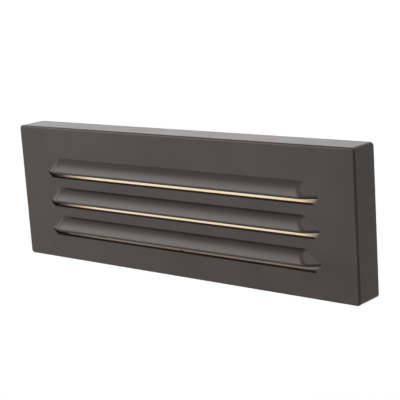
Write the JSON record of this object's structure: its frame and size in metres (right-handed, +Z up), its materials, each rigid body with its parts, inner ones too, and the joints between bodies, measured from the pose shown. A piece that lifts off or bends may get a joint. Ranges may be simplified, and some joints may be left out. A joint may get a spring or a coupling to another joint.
{
  "type": "step light",
  "caption": "Surface-mounted louvred step light: shallow rectangular cast cover with downward louvre hoods over a lit frosted lens on a wall tray.",
  "frame": {"origin": "centre of the wall-contact plane, on the back of the wall gasket", "axes": "+X right along the length as seen from the room, +Y into the wall, +Z up"},
  "size_m": [0.229, 0.0217, 0.0764],
  "materials": {
    "bronze_paint": "satin dark bronze powder coat on die-cast aluminium",
    "black_steel": "black oxide",
    "foam": "closed-cell foam",
    "grommet_rubber": "matt",
    "silicone": "silicone sheet",
    "frosted_lens": "frosted acrylic, lit warm white",
    "steel": "stainless",
    "thermal_silicone": "soft pad",
    "board_white": "white solder mask on an aluminium board",
    "led_phosphor": "phosphor yellow",
    "white_film": "white film",
    "white_plastic": "moulded white plastic",
    "board_green": "green solder mask",
    "black_plastic": "moulded",
    "ferrite": "ferrite",
    "can_aluminium": "bright can",
    "terminal_plastic": "moulded green",
    "lead_red": "lead insulation",
    "lead_black": "lead insulation"
  },
  "bodies": {
    "base": {"base_tray": "bronze_paint", "lens_bezel": "white_plastic", "wall_gasket": "foam", "cable_grommet": "grommet_rubber", "bezel_gasket": "silicone", "lens_gasket": "silicone", "lens": "frosted_lens", "bezel_screws": "steel", "thermal_pad": "thermal_silicone", "led_board": "board_white", "led_chips": "led_phosphor", "board_screws": "steel", "reflector_sheet": "white_film", "driver_board": "board_green", "driver_rectifier": "black_plastic", "driver_regulator": "black_plastic", "driver_inductor": "ferrite", "driver_capacitors": "can_aluminium", "input_terminal": "terminal_plastic", "terminal_screws": "steel", "driver_screws": "steel", "led_lead_red": "lead_red", "led_lead_black": "lead_black"},
    "cover": {"louvred_cover": "bronze_paint", "cover_set_screws": "black_steel"}
  },
  "joints": [
    {"name": "cover_pull", "type": "slide", "parent": "base", "child": "cover", "axis": [0, -1, 0], "range_m": [0, 0.05]}
  ]
}
